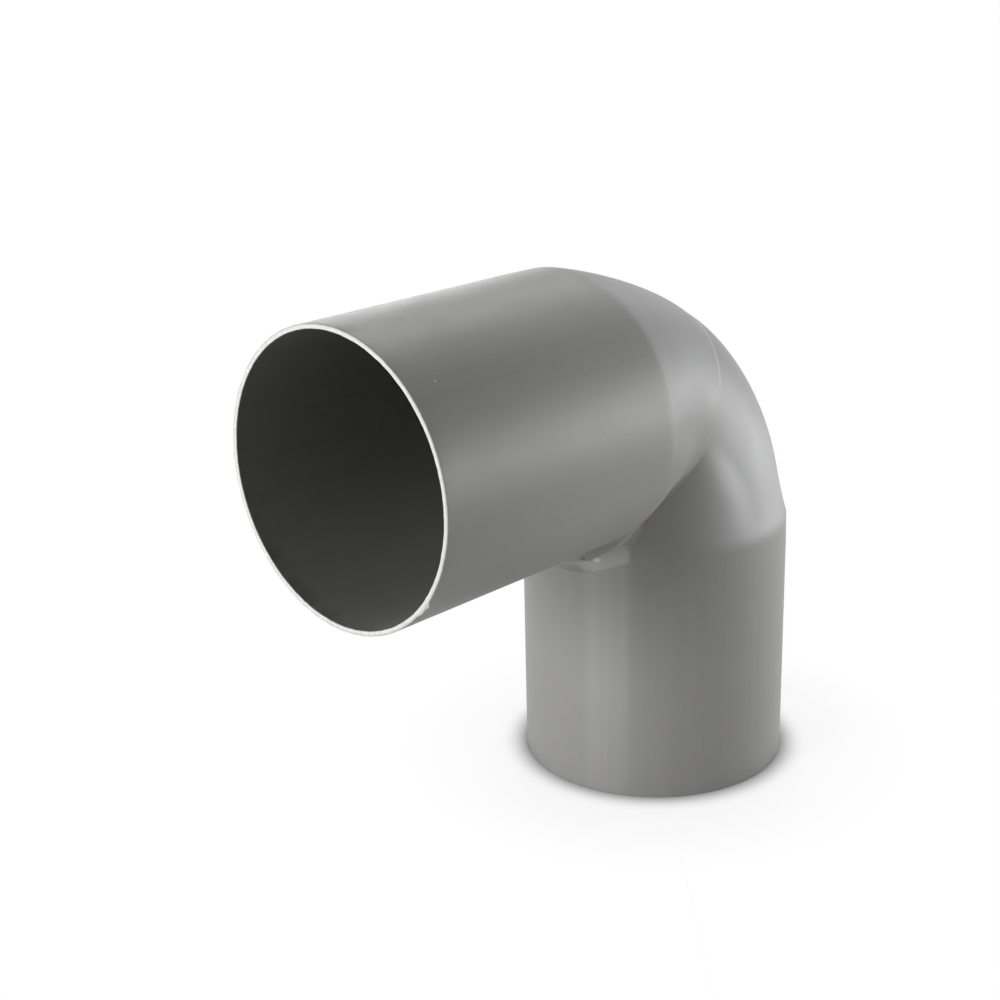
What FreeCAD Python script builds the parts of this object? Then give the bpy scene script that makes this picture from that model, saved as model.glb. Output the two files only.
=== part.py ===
import FreeCAD, Part
import math
import os

# A thin walled pressure pipe elbow: two plain ended tubes at right angles, joined by a tight formed bend.
# Sizes are in millimetres. The frame has its origin at the centre of the lower open end, with +Z up
# along the lower tube. The other tube points along -X, and Y = 0 is the plane of symmetry.

# Pipe size
OUTER_DIAMETER = 110.0
WALL = 1.8
EDGE_BREAK = 0.3

# Reach of each open end from the point where the two axes cross
SIDE_REACH = 173.5
FOOT_REACH = 162.5

# Bend, whose sections turn about the throat line, the tight inner corner of the elbow
BEND_ANGLE = 90.0
THROAT_RADIUS = 1.6
FOLD_ANGLE = 34.0
FOLD_PINCH = 5.0
FOLD_REACH = 3.0

# The bend lies lower than the tubes: its back at both of them, and its sides at the foot tube too,
# with a shoulder down from each tube
SIDE_BACK_DROP = 6.4
FOOT_BACK_DROP = 7.6
FOOT_SIDE_DROP = 1.5
BACK_CROWN = 1.8
BACK_NOTCH = 0.5
NOTCH_ANGLE = 9.0
SIDE_SHOULDER_ANGLE = 22.0
FOOT_SHOULDER_ANGLE = 15.0

# Pressed web of material across the throat, and the slight draw-in of both tubes beside it
WEB_RADIUS = 38.0
WEB_WIDTH = 22.0
WEB_PROUD = 9.0
NECK_DRAW_IN = 0.2
NECK_MARGIN = 0.8

# How finely the sections of the bend are drawn, and how much closer they stand towards the foot tube
POINT_COUNT = 36
ARC_COUNT = 4
SIDE_SECTION_COUNT = 9
FOOT_SECTION_COUNT = 15
FOOT_CROWDING = 0.4
OVERRUN = 5.0
JOIN_TOLERANCE = 0.002

OUTER_RADIUS = OUTER_DIAMETER / 2
BEND_RADIUS = OUTER_RADIUS - NECK_DRAW_IN
CENTRE_DISTANCE = OUTER_RADIUS + THROAT_RADIUS
NECK_LENGTH = WEB_PROUD * math.sqrt(2) - THROAT_RADIUS + NECK_MARGIN
CROSSING = FreeCAD.Vector(0, 0, FOOT_REACH)
THROAT = CROSSING - FreeCAD.Vector(CENTRE_DISTANCE, 0, CENTRE_DISTANCE)
TOWARDS_SIDE = FreeCAD.Vector(-1, 0, 0)
TOWARDS_FOOT = FreeCAD.Vector(0, 0, -1)


def shoulder(angle, span):
    """Share of a tube's full size left at this angle from the tube's end, falling to none over span."""
    return max(0.0, 1.0 - angle / span) ** 2


def back_distance(turn):
    """Distance of the outermost line of the bend from the throat line."""
    share = turn / BEND_ANGLE
    drop = SIDE_BACK_DROP * (1 - share) + FOOT_BACK_DROP * share
    drop -= BACK_CROWN * math.sin(math.radians(2 * turn))
    drop += BACK_NOTCH * shoulder(abs(turn - FOLD_ANGLE), NOTCH_ANGLE)
    full = shoulder(turn, SIDE_SHOULDER_ANGLE) + shoulder(BEND_ANGLE - turn, FOOT_SHOULDER_ANGLE)
    return CENTRE_DISTANCE + BEND_RADIUS - drop * (1 - full)


def tube_width(slope, inward, inset):
    """Half width of a tube that runs on into the bend, cut by a plane through the throat line.

    slope is the sine of the angle between that plane and the tube, and inward runs from 0 at the middle
    of the section to 1 at its inner end.
    """
    inner_end = (CENTRE_DISTANCE - BEND_RADIUS + inset) / slope
    distance = CENTRE_DISTANCE - (CENTRE_DISTANCE - inner_end) * inward
    from_axis = CENTRE_DISTANCE - distance * slope
    return math.sqrt(max(0.0, (BEND_RADIUS - inset) ** 2 - from_axis**2)), inner_end


def section(turn, inset):
    """Closed curve of the bend's skin, turn degrees from the side tube's end, inset from the outside.

    Its points are spread alike around every section, so that the loft joins like to like.
    """
    foot_slope = math.sin(math.radians(max(turn, FOLD_ANGLE)))
    side_slope = math.cos(math.radians(turn))
    if turn < FOLD_ANGLE:
        blend = (turn / FOLD_ANGLE) ** 2
        pinch = blend
    else:
        blend = 1.0
        pinch = ((BEND_ANGLE - turn) / (BEND_ANGLE - FOLD_ANGLE)) ** 2
    side_drop = FOOT_SIDE_DROP * blend * (1 - shoulder(BEND_ANGLE - turn, FOOT_SHOULDER_ANGLE))
    half_width = BEND_RADIUS - FOLD_PINCH * pinch - side_drop * (1 - pinch) - inset
    back = back_distance(turn) - inset
    outward = FreeCAD.Vector(math.sin(math.radians(turn)), 0, math.cos(math.radians(turn)))
    points = []
    for i in range(POINT_COUNT):
        around = 2 * math.pi * i / POINT_COUNT
        away = math.cos(around)
        inward = max(0.0, -away)
        foot_width, foot_end = tube_width(foot_slope, inward, inset)
        side_width, side_end = tube_width(side_slope, inward, inset)
        straight = foot_width * blend + side_width * (1 - blend)
        inner_end = foot_end * blend + side_end * (1 - blend)
        rounded = (1 - inward) ** FOLD_REACH
        width = straight * (1 - rounded) + half_width * abs(math.sin(around)) * rounded
        reach = back - CENTRE_DISTANCE if away > 0 else CENTRE_DISTANCE - inner_end
        distance = CENTRE_DISTANCE + reach * away
        side = math.copysign(width, math.sin(around))
        points.append(THROAT + outward * distance + FreeCAD.Vector(0, side, 0))
    curve = Part.BSplineCurve()
    knots = [i / POINT_COUNT for i in range(POINT_COUNT + 1)]
    curve.interpolate(Points=points, PeriodicFlag=True, Parameters=knots)
    return Part.Wire([curve.toShape(i / ARC_COUNT, (i + 1) / ARC_COUNT) for i in range(ARC_COUNT)])


def bend_half(start, end, count, crowding, inset):
    """Solid between two section planes of the bend, drawn straight from each section to the next."""
    wires = []
    for i in range(count):
        share = i / (count - 1)
        share += crowding * share * (1 - share)
        wires.append(section(start + (end - start) * share, inset))
    return Part.makeLoft(wires, True, True)


def straight_tube(direction, reach, inset, overrun):
    """Solids of a tube from the end of the bend to its open end, drawn in a little beside the bend."""
    start = CROSSING + direction * CENTRE_DISTANCE
    length = reach - CENTRE_DISTANCE - NECK_LENGTH + overrun
    neck = Part.makeCone(BEND_RADIUS - inset, OUTER_RADIUS - inset, NECK_LENGTH, start, direction)
    plain = Part.makeCylinder(OUTER_RADIUS - inset, length, start + direction * NECK_LENGTH, direction)
    return [neck, plain]


def skin(inset, overrun):
    """Solid inside the elbow's surface, inset from the outside."""
    pieces = straight_tube(TOWARDS_SIDE, SIDE_REACH, inset, overrun)
    pieces += straight_tube(TOWARDS_FOOT, FOOT_REACH, inset, overrun)
    pieces.append(bend_half(0.0, FOLD_ANGLE, SIDE_SECTION_COUNT, 0.0, inset))
    pieces.append(bend_half(FOLD_ANGLE, BEND_ANGLE, FOOT_SECTION_COUNT, FOOT_CROWDING, inset))
    return pieces[0].fuse(pieces[1:], JOIN_TOLERANCE)


def throat_web():
    """Disc standing across the throat, whose rim fills the corner and dives into the bend on both sides."""
    inward = FreeCAD.Vector(1, 0, 1).normalize()
    axis = FreeCAD.Vector(1, 0, -1).normalize()
    crotch = CROSSING - FreeCAD.Vector(OUTER_RADIUS, 0, OUTER_RADIUS)
    centre = crotch + inward * (WEB_RADIUS - WEB_PROUD)
    return Part.makeCylinder(WEB_RADIUS, WEB_WIDTH, centre - axis * (WEB_WIDTH / 2), axis)


def broken_edges(solid):
    """The elbow with its sharp outer edges broken at both open ends."""
    ends = []
    for edge in solid.Edges:
        if edge.Curve.TypeId != "Part::GeomCircle" or abs(edge.Curve.Radius - OUTER_RADIUS) > JOIN_TOLERANCE:
            continue
        from_crossing = (edge.Curve.Center - CROSSING).Length
        if min(abs(from_crossing - SIDE_REACH), abs(from_crossing - FOOT_REACH)) < JOIN_TOLERANCE:
            ends.append(edge)
    return solid.makeChamfer(EDGE_BREAK, ends)


def elbow():
    """The whole elbow as one hollow solid."""
    outside = skin(0.0, 0.0).fuse(throat_web())
    inside = skin(WALL, OVERRUN)
    return broken_edges(outside.cut(inside).Solids[0])


os.makedirs("parts", exist_ok=True)
shape = elbow()
shape.exportStep("parts/elbow.step")
print("elbow", shape.ShapeType, "solids", len(shape.Solids), "valid", shape.isValid())
print("volume", round(shape.Volume), "faces", len(shape.Faces), "box", shape.BoundBox)
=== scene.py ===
import bmesh
import bpy
import math
from mathutils import Matrix, Vector, noise


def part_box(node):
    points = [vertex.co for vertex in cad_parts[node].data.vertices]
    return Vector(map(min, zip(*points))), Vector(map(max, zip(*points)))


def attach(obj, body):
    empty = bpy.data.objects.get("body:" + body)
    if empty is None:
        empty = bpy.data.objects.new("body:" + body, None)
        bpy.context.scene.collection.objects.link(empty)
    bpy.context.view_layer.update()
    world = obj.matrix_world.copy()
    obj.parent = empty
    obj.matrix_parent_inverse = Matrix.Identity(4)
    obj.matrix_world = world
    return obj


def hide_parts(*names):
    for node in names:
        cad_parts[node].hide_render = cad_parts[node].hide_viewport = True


bl_info = {
    "name": "Pressure pipe elbow",
    "version": (1, 0, 0),
    "blender": (4, 5, 0),
    "location": "3D View > Sidebar > Pipe elbow",
    "description": "Builds a thin walled grey pressure pipe elbow with plain ends on its stage",
    "category": "Add Mesh",
}

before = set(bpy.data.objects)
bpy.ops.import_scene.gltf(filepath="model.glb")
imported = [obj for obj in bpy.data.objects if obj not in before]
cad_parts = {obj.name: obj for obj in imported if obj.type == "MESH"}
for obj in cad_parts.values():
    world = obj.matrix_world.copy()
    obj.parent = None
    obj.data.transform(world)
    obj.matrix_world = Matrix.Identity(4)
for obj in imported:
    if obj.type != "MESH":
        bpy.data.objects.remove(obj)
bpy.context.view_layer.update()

# Lengths are in metres. The frame has its origin at the centre of the foot tube's open end, with +Z up
# along that tube. The side tube points along -X, and Y = 0 is the plane of symmetry.
NODE_LOW, NODE_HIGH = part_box("elbow")
OUTER_RADIUS = (NODE_HIGH.y - NODE_LOW.y) / 2
SIDE_REACH = -NODE_LOW.x
FOOT_REACH = NODE_HIGH.z - OUTER_RADIUS
RIGHT_ANGLE = math.radians(90)
INTO_BEND = Vector((1, 0, 1)).normalized()
ACROSS_THROAT = Vector((1, 0, -1)).normalized()
SAME_PLACE = 1e-5

# Brings the highest point of the swell over the back to 1
CROWN_SCALE = 1.3

# How finely the wall is drawn, in rings along each stretch
PLAIN_SIDE_RINGS = 14
PLAIN_FOOT_RINGS = 12
NECK_RINGS = 3
SIDE_BEND_RINGS = 36
FOOT_BEND_RINGS = 56

# A short stretch at both open ends keeps the soft shading of the broken edges off the tubes. It is
# measured in edge breaks, as is how far the sawn finish reaches from an end's plane.
MARGIN_IN_BREAKS = 3.0
SAWN_IN_BREAKS = 1.2
EDGE_BREAK_STEPS = 2

# The web starts as an upright cylinder, turned until its axis runs across the throat
WEB_TURN = math.radians(135)
WEB_CORNERS = 160
WEB_ROUNDING = 0.0025
WEB_ROUNDING_STEPS = 5

# Edges are shaded smooth up to one angle, and a rim's corners are known by the other
SMOOTH_UP_TO = math.radians(50)
SHARP_FROM = math.radians(60)

# How uneven the sawn edges are
UNEVEN_DEPTH = 0.00025
UNEVEN_SCALE = 520
UNEVEN_BIAS = 0.1

# Torn burr on the side tube's mouth, by its angle round the mouth from the top, and the low ridge behind it
BURR_ANGLE = math.radians(232.5)
BURR_HALF_WIDTH = math.radians(1)
BURR_HEIGHT = 0.0012
RIDGE_WIDTH = math.radians(6.5)
RIDGE_HEIGHT = 0.0005


def length(name, description, default):
    """A length that a user may change, shown in the scene's units."""
    return bpy.props.FloatProperty(
        name=name, description=description, default=default, subtype="DISTANCE", unit="LENGTH", precision=4
    )


def turn_angle(name, description, degrees):
    """An angle that a user may change."""
    return bpy.props.FloatProperty(
        name=name, description=description, default=math.radians(degrees), subtype="ANGLE", unit="ROTATION"
    )


def share(name, description, default, highest=1.0):
    """A plain number from nothing up to its highest."""
    return bpy.props.FloatProperty(
        name=name, description=description, default=default, min=0.0, max=highest, precision=3
    )


def colour(name, description, default):
    """A colour, in linear values."""
    return bpy.props.FloatVectorProperty(
        name=name, description=description, default=default, subtype="COLOR", size=3, min=0.0, max=1.0
    )


def count(name, description, default, lowest, highest):
    """A whole number."""
    return bpy.props.IntProperty(
        name=name, description=description, default=default, min=lowest, max=highest
    )


class ElbowSizes(bpy.types.PropertyGroup):
    """Sizes of the formed wall."""

    outer_radius: length("Outer radius", "Radius of both tubes outside", OUTER_RADIUS)
    wall: length("Wall", "Thickness of the pipe's wall", 0.0018)
    side_reach: length("Side reach", "From the crossing of the axes to the side tube's open end", SIDE_REACH)
    foot_reach: length("Foot reach", "From the crossing of the axes to the foot tube's open end", FOOT_REACH)
    throat_radius: length("Throat radius", "Gap between the throat line and the tubes", 0.0016)
    fold_angle: turn_angle("Fold", "Turn at which the pinched fold stands", 34.0)
    fold_pinch: length("Fold pinch", "How much each side is pressed in at the fold", 0.0075)
    fold_spread: share("Fold spread", "How soon the pinched shape ends towards the throat", 20.0, 40.0)
    side_back_drop: length("Side back drop", "How much lower the back is than the side tube", 0.0066)
    foot_back_drop: length("Foot back drop", "How much lower the back is than the foot tube", 0.0055)
    foot_side_drop: length("Foot side drop", "How much lower the sides are than the foot tube", 0.0016)
    edge_drop: length("Edge drop", "Step down of the sides from the side tube's end", 0.0011)
    edge_turn: turn_angle("Edge width", "Turn taken by the step at the side tube's end", 8.0)
    back_crown: length("Back crown", "How much the back swells in the middle of the bend", 0.0021)
    back_notch: length("Back notch", "Depth of the crease over the back at the fold", 0.0005)
    notch_angle: turn_angle("Notch width", "Turn over which the crease on the back fades", 9.0)
    side_shoulder: turn_angle("Side shoulder", "Turn taken by the step down from the side tube", 30.0)
    foot_shoulder: turn_angle("Foot shoulder", "Turn taken by the step down from the foot tube", 14.0)
    neck_draw_in: length("Neck draw-in", "How much both tubes are drawn in beside the bend", 0.0002)
    neck_length: length("Neck length", "Length over which the tubes are drawn in", 0.011928)
    web_radius: length("Web radius", "Radius of the pressed web across the throat", 0.032)
    web_width: length("Web width", "Width of the web across the elbow", 0.022)
    web_proud: length("Web proud", "How far the web stands out of the throat's corner", 0.009)
    edge_break: length("Edge break", "Rounding of the sawn edges", 0.0003)
    points_around: count("Points around", "Corners of each ring of the wall", 192, 48, 360)


class ElbowFinish(bpy.types.PropertyGroup):
    """Colours and gloss of the elbow."""

    plastic: colour("Plastic", "Grey of the pipe's wall", (0.166, 0.165, 0.158))
    # The formed colour is a painted sheen: a lighter, cooler grey where light falls on the upper bend
    formed: colour("Formed plastic", "Slightly cooler grey where the bend was heated", (0.192, 0.193, 0.193))
    strained: colour("Strained plastic", "Pale grey where the wall was folded hard", (0.30, 0.30, 0.29))
    chipped: colour("Chip", "Near white of small chips", (0.62, 0.62, 0.60))
    speck: colour("Speck", "Dark grey of the dirt specks", (0.045, 0.045, 0.043))
    sawn: colour("Sawn edge", "Pale grey of the sawn ends", (0.40, 0.40, 0.385))
    roughness: share("Roughness", "Satin of the drawn tubes", 0.52)
    sawn_roughness: share("Sawn roughness", "Dullness of the sawn ends", 0.6)


class ElbowStage(bpy.types.PropertyGroup):
    """Light round the elbow."""

    floor_colour: colour("Floor", "Colour of the floor", (0.85, 0.85, 0.85))
    sky_level: share("Sky level", "Even light from all sides", 0.02, 4.0)
    lamp_level: share("Lamp level", "Strength of all lamps together", 1.0, 4.0)
    glow: share("Floor glow", "How much of the floor's white doesn't come from the lamps", 0.86)


def shoulder(angle, span):
    """Share of a tube's full size left at this angle from the tube's end, falling to none over span."""
    return max(0.0, 1.0 - angle / span) ** 2


def bend_radius(sizes):
    """Radius of both tubes where they meet the bend."""
    return sizes.outer_radius - sizes.neck_draw_in


def centre_distance(sizes):
    """Distance of the tubes' axes from the throat line."""
    return sizes.outer_radius + sizes.throat_radius


def throat(sizes):
    """Point of the throat line in the plane of symmetry."""
    reach = centre_distance(sizes)
    return Vector((-reach, 0, sizes.foot_reach - reach))


def back_distance(sizes, turn):
    """Distance of the outermost line of the bend from the throat line."""
    run = turn / RIGHT_ANGLE
    drop = sizes.side_back_drop * (1 - run) + sizes.foot_back_drop * run
    drop -= sizes.back_crown * CROWN_SCALE * math.sin(2 * turn) * math.sin(turn)
    drop += sizes.back_notch * shoulder(abs(turn - sizes.fold_angle), sizes.notch_angle)
    full = shoulder(turn, sizes.side_shoulder) + shoulder(RIGHT_ANGLE - turn, sizes.foot_shoulder)
    return centre_distance(sizes) + bend_radius(sizes) - drop * (1 - full)


def tube_width(sizes, slope, inward, inset):
    """Half width and inner end of a tube that runs on into the bend, cut by a plane through the throat line.

    slope is the sine of the angle between that plane and the tube, and inward runs from 0 at the middle
    of the section to 1 at its inner end.
    """
    centre = centre_distance(sizes)
    inner_end = (centre - bend_radius(sizes) + inset) / slope
    from_axis = centre - (centre - (centre - inner_end) * inward) * slope
    return math.sqrt(max(0.0, (bend_radius(sizes) - inset) ** 2 - from_axis**2)), inner_end


def pinched_width(sizes, turn, blend, inset):
    """Half width of the bend at this turn, with its pinched fold and the steps down from both tubes."""
    fold = sizes.fold_angle
    from_fold = (fold - turn) / fold if turn < fold else (turn - fold) / (RIGHT_ANGLE - fold)
    pinch = (1 + math.cos(math.pi * from_fold)) / 2
    drop = sizes.foot_side_drop * blend * (1 - shoulder(RIGHT_ANGLE - turn, sizes.foot_shoulder))
    drop += sizes.edge_drop * (1 - blend) * (1 - shoulder(turn, sizes.edge_turn))
    return bend_radius(sizes) - sizes.fold_pinch * pinch - drop * (1 - pinch) - inset


def section_point(sizes, turn, around, inset):
    """Point of the bend's skin at this turn from the side tube and this angle around the section.

    Towards the throat the section follows the two tubes, and away from it the pinched shape.
    """
    blend = min(1.0, turn / sizes.fold_angle) ** 2
    away = math.cos(around)
    inward = max(0.0, -away)
    foot_width, foot_end = tube_width(sizes, math.sin(max(turn, sizes.fold_angle)), inward, inset)
    side_width, side_end = tube_width(sizes, math.cos(turn), inward, inset)
    straight = foot_width * blend + side_width * (1 - blend)
    inner_end = foot_end * blend + side_end * (1 - blend)
    rounded = (1 - inward**2) ** sizes.fold_spread
    pinched = pinched_width(sizes, turn, blend, inset) * abs(math.sin(around))
    width = straight * (1 - rounded) + pinched * rounded
    centre = centre_distance(sizes)
    reach = back_distance(sizes, turn) - inset - centre if away > 0 else centre - inner_end
    outward = Vector((math.sin(turn), 0, math.cos(turn)))
    sideways = Vector((0, math.copysign(width, math.sin(around)), 0))
    return throat(sizes) + outward * (centre + reach * away) + sideways


class Value:
    """A socket in a material. Python's arithmetic on it adds the Math nodes."""

    def __init__(self, nodes, socket):
        self.nodes = nodes
        self.socket = socket

    def maths(self, operation, *numbers):
        """A Math node on these values."""
        return self.nodes.node("ShaderNodeMath", {"operation": operation}, dict(enumerate(numbers)))

    def __add__(self, other):
        return self.maths("ADD", self, other)

    def __sub__(self, other):
        return self.maths("SUBTRACT", self, other)

    def __rsub__(self, other):
        return self.maths("SUBTRACT", other, self)

    def __mul__(self, other):
        return self.maths("MULTIPLY", self, other)

    __radd__ = __add__
    __rmul__ = __mul__

    def __abs__(self):
        return self.maths("ABSOLUTE", self)

    def most(self, other):
        """The larger of two values."""
        return self.maths("MAXIMUM", self, other)

    def rise(self, low, high):
        """0 at low, 1 at high, and a soft run between them. It falls where low is the larger."""
        sockets = {"Value": self, "From Min": low, "From Max": high}
        return self.nodes.node("ShaderNodeMapRange", {"interpolation_type": "SMOOTHSTEP"}, sockets)

    def band(self, start, full, still, end):
        """0 up to start, 1 from full to still, and 0 again from end."""
        return self.rise(start, full) * self.rise(end, still)


class Nodes:
    """The nodes of a material or of the surroundings, from an empty start."""

    def __init__(self, owner):
        owner.use_nodes = True
        self.tree = owner.node_tree
        self.tree.nodes.clear()

    def node(self, kind, settings=None, sockets=None, output=0):
        """Adds a node, its settings before its sockets' values or links. Gives an output where it has one."""
        node = self.tree.nodes.new(kind)
        for name, setting in (settings or {}).items():
            setattr(node, name, setting)
        for name, value in (sockets or {}).items():
            if isinstance(value, Value):
                self.tree.links.new(value.socket, node.inputs[name])
            else:
                node.inputs[name].default_value = value
        return Value(self, node.outputs[output]) if node.outputs else None


class Look(Nodes):
    """A material in the making, whose patterns lie on the piece's own place in metres."""

    # Places of the colour sockets on a Mix node, which has a set for each kind of data
    MIX_FACTOR, MIX_FIRST, MIX_SECOND, MIX_RESULT = 0, 6, 7, 2

    def __init__(self, name):
        self.material = bpy.data.materials.new(name)
        super().__init__(self.material)
        self.place = self.node("ShaderNodeTexCoord", output="Object")

    def vector(self, operation, first, second, output=0):
        """Vector arithmetic."""
        return self.node("ShaderNodeVectorMath", {"operation": operation}, {0: first, 1: second}, output)

    def along(self, axis):
        """Distance of the place along x, y or z."""
        return self.node("ShaderNodeSeparateXYZ", sockets={0: self.place}, output="xyz".index(axis))

    def beyond(self, point, direction):
        """How far the place lies from a point, measured along a direction."""
        apart = self.vector("SUBTRACT", self.place, tuple(point))
        return self.vector("DOT_PRODUCT", apart, tuple(direction), "Value")

    def away(self, point, squeeze=(1, 1, 1)):
        """Distance of the place from a point. squeeze leaves out or weakens a direction."""
        apart = self.vector("SUBTRACT", self.place, tuple(point))
        return self.vector("LENGTH", self.vector("MULTIPLY", apart, squeeze), (0, 0, 0), "Value")

    def noise(self, scale, detail, stretch=(1, 1, 1)):
        """Soft noise round 0. stretch multiplies its scale along x, y and z."""
        where = self.vector("MULTIPLY", self.place, stretch)
        sockets = {"Vector": where, "Scale": scale, "Detail": detail, "Roughness": 0.55}
        return self.node("ShaderNodeTexNoise", sockets=sockets) - 0.5

    def dots(self, scale):
        """Distance from the nearest of many scattered points."""
        sockets = {"Vector": self.place, "Scale": scale}
        return self.node("ShaderNodeTexVoronoi", sockets=sockets, output="Distance")

    def mixed(self, factor, first, second):
        """A colour between two others."""
        settings = {"data_type": "RGBA", "clamp_factor": True}
        sockets = {self.MIX_FACTOR: factor, self.MIX_FIRST: first, self.MIX_SECOND: second}
        return self.node("ShaderNodeMix", settings, sockets, self.MIX_RESULT)

    def toned(self, shade, tone):
        """The colour made darker or lighter by a share."""
        level = 1 + tone
        grey = self.node("ShaderNodeCombineColor", sockets={"Red": level, "Green": level, "Blue": level})
        return self.vector("MULTIPLY", shade, grey)

    def surfaced(self, shade, roughness, height, relief):
        """Closes the material. height is a share of the relief's depth, which is in metres."""
        normal = self.node("ShaderNodeBump", sockets={"Strength": 1.0, "Distance": relief, "Height": height})
        sockets = {"Base Color": shade, "Roughness": roughness, "Normal": normal}
        surface = self.node("ShaderNodeBsdfPrincipled", sockets=sockets)
        self.node("ShaderNodeOutputMaterial", sockets={"Surface": surface})
        return self.material


def summed(patterns, shares):
    """The patterns added up, each by its own share."""
    first, *rest = (patterns[name] * part for name, part in shares.items())
    return sum(rest, first)


# How much each pattern of the satin plastic changes its tone, its roughness and its height
TONE_SHARES = {
    "cloud": 0.10,
    "mottle": 0.07,
    "grain": 0.05,
    "drawn": 0.16,
    # painted light on the web's facet
    "painted_facet_light": 0.50,
    # painted band of light down the foot tube
    "painted_light_band": 0.22,
    # painted highlight on the bend
    "painted_bend_highlight": 0.38,
    # painted shade in the bore
    "painted_bore_shade": -0.35,
    # painted shade towards the mouth
    "painted_mouth_shade": -0.19,
}
ROUGHNESS_SHARES = {
    "cloud": 0.08,
    "mottle": 0.10,
    "grain": 0.08,
    "drawn": 0.10,
    "formed": 0.03,
    "scuffs": 0.10,
}
HEIGHT_SHARES = {"mottle": 0.35, "grain": 0.12, "drawn": 0.40, "scuffs": -0.15}
SATIN_RELIEF = 0.00005

# Scales of the satin plastic's patterns, in repeats to the metre
CLOUD_SCALE = 15
MOTTLE_SCALE = 120
GRAIN_SCALE = 2400
DRAWN_ALONG = 5
DRAWN_ACROSS = 420
SCUFF_SCALES = (30, 70, 900)
SCUFFED_AREA_SCALE = 24
DUST_SCALE = 34
DUSTY_AREA_SCALE = 9

# Small marks: place and radius in metres, and how strong the mark is, with a minus where it is dark
MARKS = (
    ((-0.0574, -0.0178, 0.1034), 0.0023, 1.0),
    ((-0.0609, -0.0137, 0.1043), 0.0021, -1.0),
    ((-0.0592, -0.0159, 0.1039), 0.0016, -0.9),
    ((-0.1606, -0.0381, 0.2021), 0.0008, 0.3),
    ((-0.0963, -0.0545, 0.1699), 0.0010, 0.06),
    ((-0.0865, -0.0549, 0.1647), 0.0009, 0.06),
    ((-0.1075, -0.0536, 0.1772), 0.0008, -0.2),
    ((-0.1070, -0.0549, 0.1590), 0.0008, -0.2),
    ((-0.0219, -0.0488, 0.1501), 0.0010, 0.15),
)

# Levels of their patterns at which scuffs and dust start to show and are full
SCUFF_RUN = (0.22, 0.30)
SCUFFED_AREA_RUN = (0.05, 0.20)
DUST_RUN = (0.012, 0.006)
DUSTY_AREA_RUN = (0.05, 0.10)
DUST_STRENGTH = 0.7

# Half the soft step between the tubes and the bend, and between the wall's two sides
TUBE_END_BLUR = 0.004
MID_WALL_BLUR = 0.0005

# Where the painted light and shade start to show and are full: the painted sheen on the bend upwards and
# towards the back, the painted shade in the bore upwards, the painted shade towards the mouth, and the
# painted highlight on the bend
SHEEN_UP = (0.150, 0.182)
SHEEN_BACK = (-0.030, -0.012)
BORE_SHADE_UP = (0.12, 0.20)
MOUTH_SHADE_RUN = (-0.070, -0.165)
BEND_HIGHLIGHT_PLACE = (0.002, -0.051, 0.125)
BEND_HIGHLIGHT_RUN = (0.046, 0.012)

# The painted light on the web's flat facet, which faces the white floor: its band across the elbow and its
# band down the throat, and how near the throat it stays
FACET_LIGHT_ACROSS = (-0.0275, -0.0255, -0.0110, -0.0080)
FACET_LIGHT_DOWN = (-0.0010, 0.0015, 0.0078, 0.0088)
FACET_LIGHT_OUT = (-0.012, -0.008)
FACET_LIGHT_NEAR = (0.016, 0.014)

# The painted band of light below it: its band across the foot tube, and how it fades round the tube and
# downwards
LIGHT_BAND_ACROSS = (-0.0285, -0.0245, -0.0140, -0.0040)
LIGHT_BAND_FRONT = (-0.030, -0.040)
LIGHT_BAND_UP = (-0.060, 0.100)

# Strained lines: where each starts to show and is full, across itself and along the wall, and its strength
BACK_LINE = ((0.0014, 0.0002), (0.073, 0.083), 0.8)
CHEEK_LINE = ((0.0016, 0.0001), (0.062, 0.040), 0.5)
SIDE_END_LINE = ((0.0006, 0.0), (0.15, 0.17), 0.4)


def strained_line(apart, along, line):
    """A soft line, from the distance to it, the place along the wall, and its runs and strength."""
    across_run, along_run, strength = line
    return apart.rise(*across_run) * along.rise(*along_run) * strength


def strained_lines(look, sizes):
    """Pale lines where the wall was folded hard: over the back, on both cheeks and at the side tube's end."""
    corner = throat(sizes)
    fold = sizes.fold_angle
    from_fold = abs(look.beyond(corner, (math.cos(fold), 0, -math.sin(fold))))
    from_throat = look.away(corner, (1, 0, 1))
    from_side_end = abs(look.along("x") - corner.x)
    over_back = strained_line(from_fold, from_throat, BACK_LINE)
    on_cheeks = strained_line(from_fold, from_throat, CHEEK_LINE)
    at_side_end = strained_line(from_side_end, look.along("z"), SIDE_END_LINE)
    return over_back.most(on_cheeks).most(at_side_end)


def drawn_lines(look, on_side, on_foot):
    """Fine lines along both tubes, left from drawing the pipe."""
    side_lines = look.noise(1, 3, (DRAWN_ALONG, DRAWN_ACROSS, DRAWN_ACROSS))
    foot_lines = look.noise(1, 3, (DRAWN_ACROSS, DRAWN_ACROSS, DRAWN_ALONG))
    return side_lines * on_side + foot_lines * on_foot


def scuffs(look):
    """Short shallow scratches, in a few areas."""
    scratches = look.noise(1, 2, SCUFF_SCALES).rise(*SCUFF_RUN)
    return scratches * look.noise(SCUFFED_AREA_SCALE, 1).rise(*SCUFFED_AREA_RUN)


def dust(look):
    """Dark specks of dirt, in a few areas."""
    return look.dots(DUST_SCALE).rise(*DUST_RUN) * look.noise(DUSTY_AREA_SCALE, 1).rise(*DUSTY_AREA_RUN)


def painted_facet_light(look, sizes):
    """Painted light on the flat facet that the forming tool left on the web."""
    corner = throat(sizes)
    across = look.along("y").band(*FACET_LIGHT_ACROSS)
    down = look.beyond(corner, ACROSS_THROAT).band(*FACET_LIGHT_DOWN)
    on_web = look.beyond(corner, -INTO_BEND).rise(*FACET_LIGHT_OUT) * look.away(corner, (1, 0, 1)).rise(*FACET_LIGHT_NEAR)
    return across * down * on_web


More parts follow.
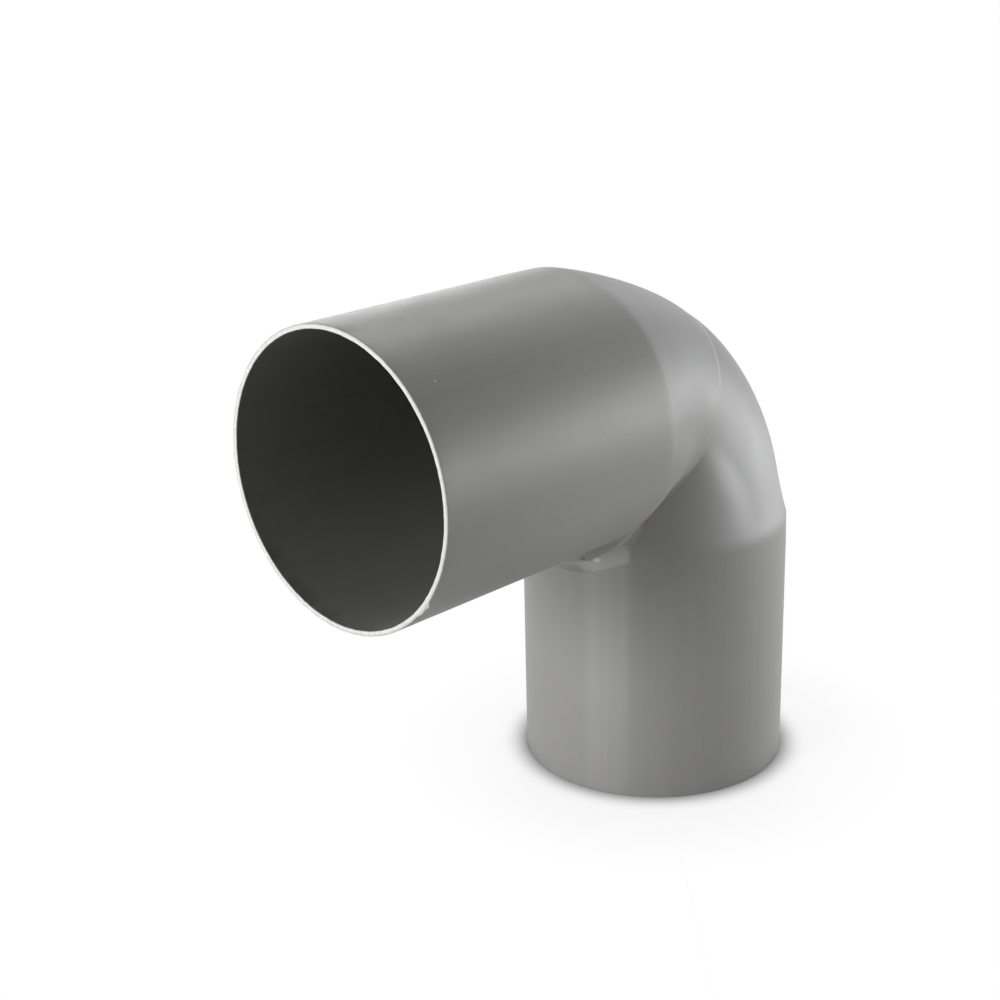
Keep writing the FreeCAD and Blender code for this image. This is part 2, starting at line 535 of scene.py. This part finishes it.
def painted_light_band(look, on_foot):
    """A painted band of light down the foot tube below the throat."""
    across = look.along("y").band(*LIGHT_BAND_ACROSS)
    return across * look.along("x").rise(*LIGHT_BAND_FRONT) * look.along("z").rise(*LIGHT_BAND_UP) * on_foot


def satin_patterns(look, sizes):
    """The patterns of the satin plastic by name. Noises lie round 0, and the others run from 0 to 1."""
    corner = throat(sizes)
    on_side = look.along("x").rise(corner.x + TUBE_END_BLUR, corner.x - TUBE_END_BLUR)
    on_foot = look.along("z").rise(corner.z + TUBE_END_BLUR, corner.z - TUBE_END_BLUR)
    formed = 1 - on_side.most(on_foot)
    from_side_axis = look.away((0, 0, sizes.foot_reach), (0, 1, 1))
    mid_wall = sizes.outer_radius - sizes.wall / 2
    outside = from_side_axis.rise(mid_wall - MID_WALL_BLUR, mid_wall + MID_WALL_BLUR)
    return {
        "formed": formed,
        "cloud": look.noise(CLOUD_SCALE, 3),
        "mottle": look.noise(MOTTLE_SCALE, 4),
        "grain": look.noise(GRAIN_SCALE, 1),
        "drawn": drawn_lines(look, on_side, on_foot),
        "scuffs": scuffs(look),
        # painted light on the web's facet
        "painted_facet_light": painted_facet_light(look, sizes),
        # painted band of light down the foot tube
        "painted_light_band": painted_light_band(look, on_foot),
        # painted highlight on the bend, where it faces up into the light
        "painted_bend_highlight": look.away(BEND_HIGHLIGHT_PLACE).rise(*BEND_HIGHLIGHT_RUN) * formed,
        # painted shade in the side tube's bore, darker towards its top
        "painted_bore_shade": (1 - outside) * on_side * look.along("z").rise(*BORE_SHADE_UP),
        # painted shade on the outside, darker towards the side tube's mouth
        "painted_mouth_shade": outside * look.along("x").rise(*MOUTH_SHADE_RUN),
    }


def satin_plastic(sizes, finish):
    """Grey satin plastic: drawn lines on the tubes, a smoother bend, strained folds and a few specks, with a
    painted sheen and a painted highlight on the bend, painted light on the web's facet and down the foot
    tube, and painted shade in the bore and towards the mouth.
    """
    look = Look("satin_grey_pvc")
    patterns = satin_patterns(look, sizes)
    # Painted sheen: the upper bend and its back take the lighter formed colour
    painted_sheen = patterns["formed"] * look.along("z").rise(*SHEEN_UP).most(look.along("x").rise(*SHEEN_BACK))
    shade = look.mixed(painted_sheen, (*finish.plastic, 1), (*finish.formed, 1))
    shade = look.toned(shade, summed(patterns, TONE_SHARES))
    shade = look.mixed(strained_lines(look, sizes), shade, (*finish.strained, 1))
    shade = look.mixed(dust(look) * DUST_STRENGTH, shade, (*finish.speck, 1))
    for place, radius, strength in MARKS:
        tint = finish.chipped if strength > 0 else finish.speck
        shade = look.mixed(look.away(place).rise(radius, 0) * abs(strength), shade, (*tint, 1))
    roughness = finish.roughness + summed(patterns, ROUGHNESS_SHARES)
    return look.surfaced(shade, roughness, summed(patterns, HEIGHT_SHARES), SATIN_RELIEF)


# The sawn ends: how much each pattern changes the tone, roughness and height, and the patterns' scales
SAWN_TONE_SHARES = {"blade_marks": 0.30, "mottle": 0.30, "outer_edge": -0.25}
SAWN_ROUGHNESS_SHARES = {"blade_marks": 0.20}
SAWN_HEIGHT_SHARES = {"blade_marks": 0.60, "mottle": 0.40}
SAWN_RELIEF = 0.00012
BLADE_SCALES = (160, 2600, 60)
SAWN_MOTTLE_SCALE = 500
SAWN_EDGE_WIDTH = 0.0011


def sawn_plastic(sizes, finish):
    """Pale sawn plastic, with the fine straight marks of the blade, greyer towards its outer edge."""
    look = Look("sawn_pvc")
    from_side_axis = look.away((0, 0, sizes.foot_reach), (0, 1, 1))
    patterns = {
        "blade_marks": look.noise(1, 2, BLADE_SCALES),
        "mottle": look.noise(SAWN_MOTTLE_SCALE, 3),
        "outer_edge": from_side_axis.rise(sizes.outer_radius - SAWN_EDGE_WIDTH, sizes.outer_radius),
    }
    shade = look.toned(tuple(finish.sawn), summed(patterns, SAWN_TONE_SHARES))
    roughness = finish.sawn_roughness + summed(patterns, SAWN_ROUGHNESS_SHARES)
    return look.surfaced(shade, roughness, summed(patterns, SAWN_HEIGHT_SHARES), SAWN_RELIEF)


def fresh_start():
    """Nothing is selected and no object is being edited."""
    if bpy.context.object and bpy.context.object.mode != "OBJECT":
        bpy.ops.object.mode_set(mode="OBJECT")
    bpy.ops.object.select_all(action="DESELECT")


def pull(direction, distance, rings):
    """Draws the selected ring on over a distance, in equal steps."""
    for _ in range(rings):
        bpy.ops.mesh.extrude_region_move(TRANSFORM_OT_translate={"value": direction * (distance / rings)})


def pressed(sizes, co, inset):
    """Where a point of the plain swept tube ends up once the bend is formed."""
    corner = throat(sizes)
    along_side = corner.x - co.x
    along_foot = corner.z - co.z
    if along_side > SAME_PLACE:
        axis = Vector((co.x, 0, sizes.foot_reach))
        drawn = sizes.neck_draw_in * max(0.0, 1 - along_side / sizes.neck_length)
    elif along_foot > SAME_PLACE:
        axis = Vector((0, 0, co.z))
        drawn = sizes.neck_draw_in * max(0.0, 1 - along_foot / sizes.neck_length)
    else:
        flat = Vector((co.x - corner.x, 0, co.z - corner.z))
        turn = min(max(math.atan2(flat.x, flat.z), 0.0), RIGHT_ANGLE)
        around = math.atan2(co.y, flat.length - centre_distance(sizes))
        return section_point(sizes, turn, around, inset)
    return axis + (co - axis).normalized() * (sizes.outer_radius - inset - drawn)


def make_skin(sizes, name, inset):
    """The elbow's surface as one open tube, drawn and turned from a ring and then pressed to shape."""
    fresh_start()
    bpy.ops.mesh.primitive_circle_add(
        vertices=sizes.points_around,
        radius=sizes.outer_radius - inset,
        location=(-sizes.side_reach, 0, sizes.foot_reach),
        rotation=(0, RIGHT_ANGLE, 0),
    )
    skin = bpy.context.object
    skin.name = name
    bpy.ops.object.transform_apply(location=True, rotation=True, scale=True)
    bpy.ops.object.mode_set(mode="EDIT")
    bpy.ops.mesh.select_mode(type="EDGE")
    bpy.ops.mesh.select_all(action="SELECT")
    corner = throat(sizes)
    inward = Vector((1, 0, 0))
    down = Vector((0, 0, -1))
    fold = sizes.fold_angle
    margin = MARGIN_IN_BREAKS * sizes.edge_break
    not_plain = centre_distance(sizes) + sizes.neck_length + margin
    pull(inward, margin, 1)
    pull(inward, sizes.side_reach - not_plain, PLAIN_SIDE_RINGS)
    pull(inward, sizes.neck_length, NECK_RINGS)
    # Spin turns against its axis, so both angles are below nothing.
    bpy.ops.mesh.spin(steps=SIDE_BEND_RINGS, angle=-fold, center=corner, axis=(0, 1, 0))
    bpy.ops.mesh.spin(steps=FOOT_BEND_RINGS, angle=fold - RIGHT_ANGLE, center=corner, axis=(0, 1, 0))
    pull(down, sizes.neck_length, NECK_RINGS)
    pull(down, sizes.foot_reach - not_plain, PLAIN_FOOT_RINGS)
    pull(down, margin, 1)
    bpy.ops.mesh.select_all(action="SELECT")
    bpy.ops.mesh.remove_doubles(threshold=SAME_PLACE)
    bpy.ops.mesh.normals_make_consistent(inside=False)
    bpy.ops.object.mode_set(mode="OBJECT")
    for vertex in skin.data.vertices:
        vertex.co = pressed(sizes, vertex.co, inset)
    return skin


def select_where(mesh, kind, wanted):
    """Selects the edges or faces of the edited mesh for which wanted is true, and no others."""
    bpy.ops.mesh.select_mode(type=kind)
    bpy.ops.mesh.select_all(action="DESELECT")
    shape = bmesh.from_edit_mesh(mesh)
    shape.normal_update()
    for part in shape.edges if kind == "EDGE" else shape.faces:
        part.select_set(wanted(part))
    bmesh.update_edit_mesh(mesh)


def open_ends(sizes):
    """Both open ends, each as the number of the axis that it faces along and its place on that axis."""
    return ((0, -sizes.side_reach), (2, 0.0))


def lies_at(part, end):
    """True for an edge or a face in the plane of an open end."""
    axis, place = end
    return all(abs(vertex.co[axis] - place) < SAME_PLACE for vertex in part.verts)


def at_open_rings(sizes, mesh, work):
    """Does the work on the open rings of the edited mesh, at the side tube's end and then at the foot's."""
    for end in open_ends(sizes):
        select_where(mesh, "EDGE", lambda edge: edge.is_boundary and lies_at(edge, end))
        work()


def on_rim_edge(sizes, edge):
    """True for the edges between a sawn rim and the wall's two surfaces."""
    at_end = any(lies_at(edge, end) for end in open_ends(sizes))
    return at_end and len(edge.link_faces) == 2 and edge.calc_face_angle(0.0) > SHARP_FROM


def borders_flat_end(edge):
    """True for the edges round a cylinder's two flat ends."""
    return any(len(face.verts) > 4 for face in edge.link_faces)


def add_web(sizes, skin):
    """Joins the pressed web across the throat to the closed outer skin."""
    fresh_start()
    crotch = Vector((-sizes.outer_radius, 0, sizes.foot_reach - sizes.outer_radius))
    bpy.ops.mesh.primitive_cylinder_add(
        vertices=WEB_CORNERS,
        radius=sizes.web_radius,
        depth=sizes.web_width,
        location=crotch + INTO_BEND * (sizes.web_radius - sizes.web_proud),
        rotation=(0, WEB_TURN, 0),
    )
    web = bpy.context.object
    web.name = "web_cutter"
    bpy.ops.object.transform_apply(location=True, rotation=True, scale=True)
    bpy.ops.object.mode_set(mode="EDIT")
    select_where(web.data, "EDGE", borders_flat_end)
    bpy.ops.mesh.bevel(offset=WEB_ROUNDING, segments=WEB_ROUNDING_STEPS, affect="EDGES")
    bpy.ops.object.mode_set(mode="OBJECT")
    union = skin.modifiers.new("web", "BOOLEAN")
    union.operation = "UNION"
    union.solver = "EXACT"
    union.object = web
    fresh_start()
    bpy.context.view_layer.objects.active = skin
    skin.select_set(True)
    bpy.ops.object.modifier_apply(modifier=union.name)
    bpy.data.objects.remove(web)


def outer_skin(sizes):
    """The outer skin with its web. Both ends are closed for the joining, and then opened again."""
    skin = make_skin(sizes, "elbow_wall", 0.0)
    bpy.ops.object.mode_set(mode="EDIT")
    at_open_rings(sizes, skin.data, bpy.ops.mesh.edge_face_add)
    bpy.ops.object.mode_set(mode="OBJECT")
    add_web(sizes, skin)
    bpy.ops.object.mode_set(mode="EDIT")
    select_where(skin.data, "FACE", lambda face: any(lies_at(face, end) for end in open_ends(sizes)))
    bpy.ops.mesh.delete(type="ONLY_FACE")
    bpy.ops.object.mode_set(mode="OBJECT")
    return skin


def inner_skin(sizes):
    """The inner skin, which faces into the bore."""
    skin = make_skin(sizes, "elbow_bore", sizes.wall)
    bpy.ops.object.mode_set(mode="EDIT")
    bpy.ops.mesh.select_all(action="SELECT")
    bpy.ops.mesh.flip_normals()
    bpy.ops.object.mode_set(mode="OBJECT")
    return skin


def make_wall(sizes):
    """The whole wall: both skins, with the sawn rims between them."""
    outer = outer_skin(sizes)
    inner = inner_skin(sizes)
    outer.select_set(True)
    inner.select_set(True)
    bpy.context.view_layer.objects.active = outer
    bpy.ops.object.join()
    wall = bpy.context.object
    bpy.ops.object.mode_set(mode="EDIT")
    at_open_rings(sizes, wall.data, bpy.ops.mesh.bridge_edge_loops)
    select_where(wall.data, "EDGE", lambda edge: on_rim_edge(sizes, edge))
    bpy.ops.mesh.bevel(offset=sizes.edge_break, segments=EDGE_BREAK_STEPS, affect="EDGES")
    bpy.ops.object.mode_set(mode="OBJECT")
    return wall


def sawn(sizes, place):
    """True on the two sawn rims and their broken edges."""
    return min(place.x + sizes.side_reach, place.z) < SAWN_IN_BREAKS * sizes.edge_break


def torn_height(out):
    """Height of the torn burr and of the ridge behind it, this way out from the side tube's axis."""
    behind = BURR_ANGLE - math.atan2(out.y, out.z) % (2 * math.pi)
    if abs(behind) < BURR_HALF_WIDTH:
        return BURR_HEIGHT
    return RIDGE_HEIGHT if 0 < behind < RIDGE_WIDTH else 0.0


def ragged_rims(sizes, wall):
    """Makes the sawn edges slightly uneven, and leaves a torn burr low on the side tube's mouth."""
    for vertex in wall.data.vertices:
        if not sawn(sizes, vertex.co):
            continue
        at_side = vertex.co.x + sizes.side_reach < vertex.co.z
        axis = Vector((vertex.co.x, 0, sizes.foot_reach)) if at_side else Vector((0, 0, vertex.co.z))
        out = vertex.co - axis
        outside = out.length >= sizes.outer_radius - sizes.wall / 2
        torn = torn_height(out) if at_side and outside else 0.0
        worn = UNEVEN_DEPTH * max(0.0, noise.noise(vertex.co * UNEVEN_SCALE) + UNEVEN_BIAS)
        vertex.co += out.normalized() * (torn - worn)


class PIPE_OT_wall(bpy.types.Operator):
    """Forms the elbow's wall, with its fold, shoulders and throat web, and saws both ends"""

    bl_idname = "pipe.wall"
    bl_label = "Formed wall"

    def execute(self, context):
        sizes = context.scene.elbow_sizes
        finish = context.scene.elbow_finish
        wall = make_wall(sizes)
        ragged_rims(sizes, wall)
        wall.data.materials.clear()
        wall.data.materials.append(satin_plastic(sizes, finish))
        wall.data.materials.append(sawn_plastic(sizes, finish))
        for face in wall.data.polygons:
            face.material_index = 1 if sawn(sizes, face.center) else 0
        fresh_start()
        context.view_layer.objects.active = wall
        wall.select_set(True)
        bpy.ops.object.shade_smooth_by_angle(angle=SMOOTH_UP_TO)
        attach(wall, "root")
        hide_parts("elbow")
        return {"FINISHED"}


# Floor and surroundings: how near the elbow the floor's glow takes a painted contact shadow, and how far from
# its foot the floor turns plain white
FLOOR_SIZE = 60
WHITE = (1, 1, 1, 1)
BLACK = (0, 0, 0, 1)
CONTACT_SAMPLES = 12
CONTACT_REACH = 0.017
CONTACT_RUN = (0.35, 0.9)
PLAIN_WHITE_RUN = (0.06, 0.12)


def seen_directly(nodes):
    """1 for rays from the camera, from gloss and through glass, which meet the white as it is."""
    rays = ("Is Camera Ray", "Is Glossy Ray", "Is Transmission Ray")
    camera, gloss, glass = (nodes.node("ShaderNodeLightPath", output=ray) for ray in rays)
    return camera.most(gloss).most(glass)


def floor_look(stage):
    """White floor that glows a little, with a painted contact shadow in its glow where the elbow stands on
    it, and takes its shadow from the lamps.
    """
    look = Look("pale_floor")
    contact = {"Distance": CONTACT_REACH}
    open_air = look.node("ShaderNodeAmbientOcclusion", {"samples": CONTACT_SAMPLES}, contact, "AO")
    # Painted contact shadow: the glow goes dark where the elbow stands close
    painted_contact_shadow = look.mixed(open_air.rise(*CONTACT_RUN), BLACK, WHITE)
    glow = look.node("ShaderNodeEmission", sockets={"Color": painted_contact_shadow, "Strength": 1.0})
    matt = look.node("ShaderNodeBsdfDiffuse", sockets={"Color": (*stage.floor_colour, 1)})
    far = look.away((0, 0, 0)).rise(*PLAIN_WHITE_RUN)
    glowing = seen_directly(look) * (far * (1 - stage.glow) + stage.glow)
    both = look.node("ShaderNodeMixShader", sockets={0: glowing, 1: matt, 2: glow})
    look.node("ShaderNodeOutputMaterial", sockets={"Surface": both})
    return look.material


def light_sky(scene, stage):
    """Even white surroundings, which light the elbow only softly."""
    scene.world = bpy.data.worlds.new("studio")
    nodes = Nodes(scene.world)
    soft = nodes.node("ShaderNodeBackground", sockets={"Color": WHITE, "Strength": stage.sky_level})
    white = nodes.node("ShaderNodeBackground", sockets={"Color": WHITE, "Strength": 1.0})
    both = nodes.node("ShaderNodeMixShader", sockets={0: seen_directly(nodes), 1: soft, 2: white})
    nodes.node("ShaderNodeOutputWorld", sockets={"Surface": both})


CAMERA_PLACE = Vector((-0.53857, -0.43248, 0.35082))
CAMERA_AZIMUTH = math.radians(-45.888)
CAMERA_ELEVATION = math.radians(19.196)
CAMERA_ROLL = math.radians(-1.426)
CAMERA_LENS = 62.718
CAMERA_SENSOR = 36
CAMERA_NEAR = 0.01

LIT_POINT = Vector((-0.06, 0, 0.11))
LAMP_DISTANCE = 1.3
LAMP_SIZE = 0.45

# Each lamp: its name, its azimuth from the camera and its height in degrees, and its power in watts
LAMPS = (
    ("left_front", -50, 16, 14.4),
    ("left_low", -70, 2, 10.2),
    ("right_front", 50, 2, 3.6),
    ("right_low", 90, 2, 6.9),
    ("right_back", 112, 2, 7.8),
    ("low_back", -170, 16, 2.7),
    ("high_back", 150, 32, 2.3),
    ("top_back", 170, 50, 4.8),
)


def way_to(azimuth, elevation):
    """Direction in which something stands as seen from the elbow. Azimuth 0 is its near side, towards -Y."""
    level = Vector((math.sin(azimuth), -math.cos(azimuth), 0)) * math.cos(elevation)
    return level + Vector((0, 0, math.sin(elevation)))


def add_lamp(stage, name, azimuth, height, power):
    """A soft round lamp that shines on the elbow from a distance."""
    way = way_to(CAMERA_AZIMUTH + math.radians(azimuth), math.radians(height))
    turned = way.to_track_quat("Z", "Y").to_euler()
    bpy.ops.object.light_add(type="AREA", location=LIT_POINT + way * LAMP_DISTANCE, rotation=turned)
    lamp = bpy.context.object
    lamp.name = name
    lamp.data.shape = "DISK"
    lamp.data.size = LAMP_SIZE
    lamp.data.energy = power * stage.lamp_level


def aim_camera(context):
    """Camera at the height and angle from which the elbow is shown."""
    backward = way_to(CAMERA_AZIMUTH, CAMERA_ELEVATION)
    level = Vector((0, 0, 1)).cross(backward).normalized()
    upright = backward.cross(level)
    right = math.cos(CAMERA_ROLL) * level + math.sin(CAMERA_ROLL) * upright
    up = math.cos(CAMERA_ROLL) * upright - math.sin(CAMERA_ROLL) * level
    turned = Matrix((right, up, backward)).transposed()
    bpy.ops.object.camera_add(location=CAMERA_PLACE, rotation=turned.to_euler())
    camera = context.object
    camera.name = "main_camera"
    camera.data.lens = CAMERA_LENS
    camera.data.sensor_width = CAMERA_SENSOR
    camera.data.clip_start = CAMERA_NEAR
    context.scene.camera = camera


class PIPE_OT_stage(bpy.types.Operator):
    """Sets the floor, the soft lamps and the camera"""

    bl_idname = "pipe.stage"
    bl_label = "Stage"

    def execute(self, context):
        stage = context.scene.elbow_stage
        fresh_start()
        bpy.ops.mesh.primitive_plane_add(size=FLOOR_SIZE, location=(0, 0, 0))
        floor = context.object
        floor.name = "floor"
        floor.data.materials.append(floor_look(stage))
        light_sky(context.scene, stage)
        for lamp in LAMPS:
            add_lamp(stage, *lamp)
        aim_camera(context)
        context.scene.view_settings.view_transform = "Standard"
        return {"FINISHED"}


STEPS = (PIPE_OT_wall, PIPE_OT_stage)


class PIPE_PT_elbow(bpy.types.Panel):
    """Lists the elbow's pieces, sizes and finishes"""

    bl_idname = "PIPE_PT_elbow"
    bl_label = "Pipe elbow"
    bl_space_type = "VIEW_3D"
    bl_region_type = "UI"
    bl_category = "Pipe elbow"

    def draw(self, context):
        scene = context.scene
        for settings in (scene.elbow_sizes, scene.elbow_finish, scene.elbow_stage):
            box = self.layout.box()
            for name in settings.__annotations__:
                box.prop(settings, name)
        for step in STEPS:
            self.layout.operator(step.bl_idname)


CLASSES = (ElbowSizes, ElbowFinish, ElbowStage, *STEPS, PIPE_PT_elbow)


def register():
    for each in CLASSES:
        bpy.utils.register_class(each)
    bpy.types.Scene.elbow_sizes = bpy.props.PointerProperty(type=ElbowSizes)
    bpy.types.Scene.elbow_finish = bpy.props.PointerProperty(type=ElbowFinish)
    bpy.types.Scene.elbow_stage = bpy.props.PointerProperty(type=ElbowStage)


def unregister():
    del bpy.types.Scene.elbow_stage
    del bpy.types.Scene.elbow_finish
    del bpy.types.Scene.elbow_sizes
    for each in reversed(CLASSES):
        bpy.utils.unregister_class(each)


def main():
    """Builds every piece and the stage."""
    register()
    bpy.ops.pipe.wall()
    bpy.ops.pipe.stage()


if __name__ == "__main__":
    main()
